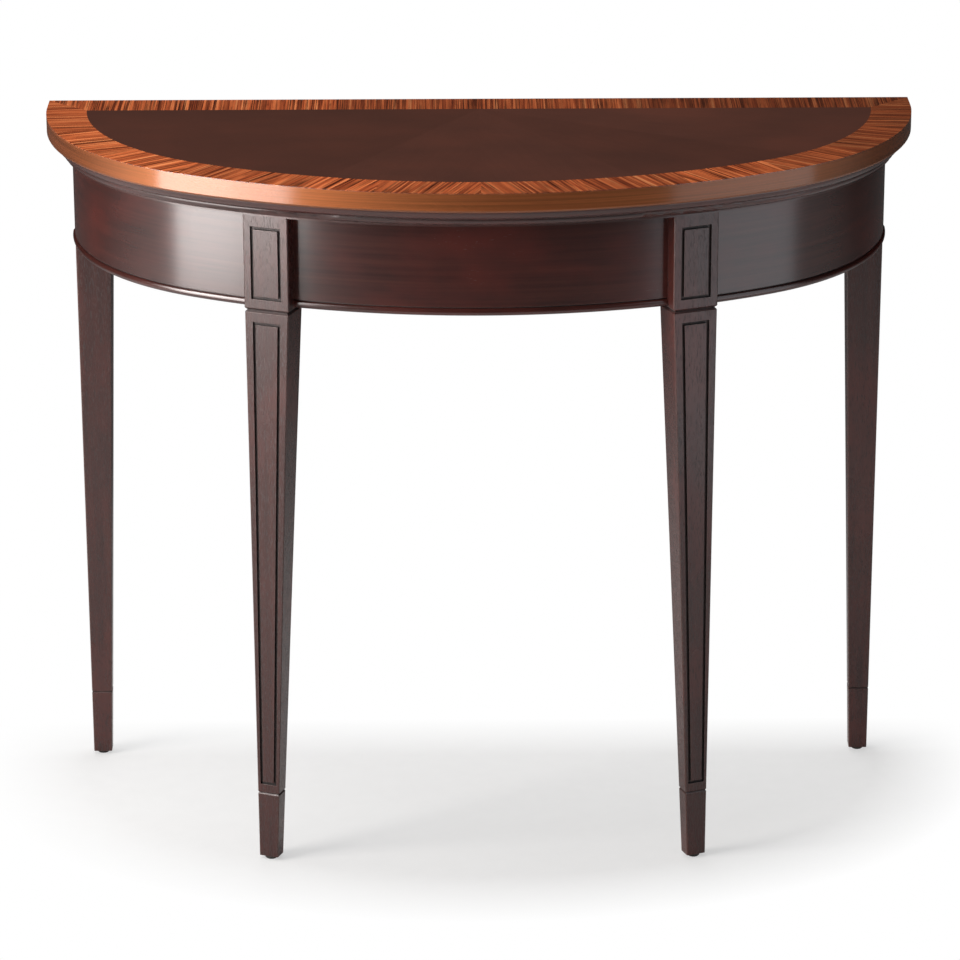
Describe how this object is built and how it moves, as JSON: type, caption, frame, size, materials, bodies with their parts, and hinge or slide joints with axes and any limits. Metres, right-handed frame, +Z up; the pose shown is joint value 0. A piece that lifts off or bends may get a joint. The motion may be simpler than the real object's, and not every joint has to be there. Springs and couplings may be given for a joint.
{
  "type": "demilune table",
  "caption": "Half-oval console table with a crossbanded veneered top, moulded edge, curved beaded apron and tapered legs, the front ones with incised panels.",
  "frame": {"origin": "on the floor under the middle of the table's bounding box", "axes": "+X along the straight back edge, +Y out of the straight back towards the wall, +Z up"},
  "size_m": [0.965, 0.394, 0.787],
  "materials": {
    "field_veneer": "satin lacquer",
    "crossband_veneer": "satin lacquer",
    "edge_band": "satin lacquer",
    "dark_wood": "satin lacquer",
    "frame_wood": "stained",
    "core_board": "stained",
    "dowel_wood": "bare",
    "screw_steel": "zinc plated",
    "glide": "smooth"
  },
  "bodies": {
    "root": {"field_leaf_1_left": "field_veneer", "field_leaf_1_right": "field_veneer", "field_leaf_2_left": "field_veneer", "field_leaf_2_right": "field_veneer", "field_leaf_3_left": "field_veneer", "field_leaf_3_right": "field_veneer", "crossband_1_left": "crossband_veneer", "crossband_1_right": "crossband_veneer", "crossband_2_left": "crossband_veneer", "crossband_2_right": "crossband_veneer", "crossband_3_left": "crossband_veneer", "crossband_3_right": "crossband_veneer", "crossband_4_left": "crossband_veneer", "crossband_4_right": "crossband_veneer", "crossband_5_left": "crossband_veneer", "crossband_5_right": "crossband_veneer", "crossband_6_left": "crossband_veneer", "crossband_6_right": "crossband_veneer", "crossband_back_left": "crossband_veneer", "crossband_back_centre": "crossband_veneer", "crossband_back_right": "crossband_veneer", "edge_band": "edge_band", "under_top_moulding": "dark_wood", "apron_left": "dark_wood", "apron_centre": "dark_wood", "apron_right": "dark_wood", "apron_bead_left": "dark_wood", "apron_bead_centre": "dark_wood", "apron_bead_right": "dark_wood", "front_leg_left": "dark_wood", "front_leg_right": "dark_wood", "back_leg_left": "dark_wood", "back_leg_right": "dark_wood", "moulding_back_strip": "frame_wood", "back_rail": "frame_wood", "front_corner_block_left": "frame_wood", "front_corner_block_right": "frame_wood", "back_corner_block_left": "frame_wood", "back_corner_block_right": "frame_wood", "top_core": "core_board", "backing_veneer": "core_board", "apron_dowels": "dowel_wood", "rail_dowels": "dowel_wood", "leg_screws": "screw_steel", "top_screws": "screw_steel", "glide_front_left": "glide", "glide_front_right": "glide", "glide_back_left": "glide", "glide_back_right": "glide"}
  },
  "joints": []
}
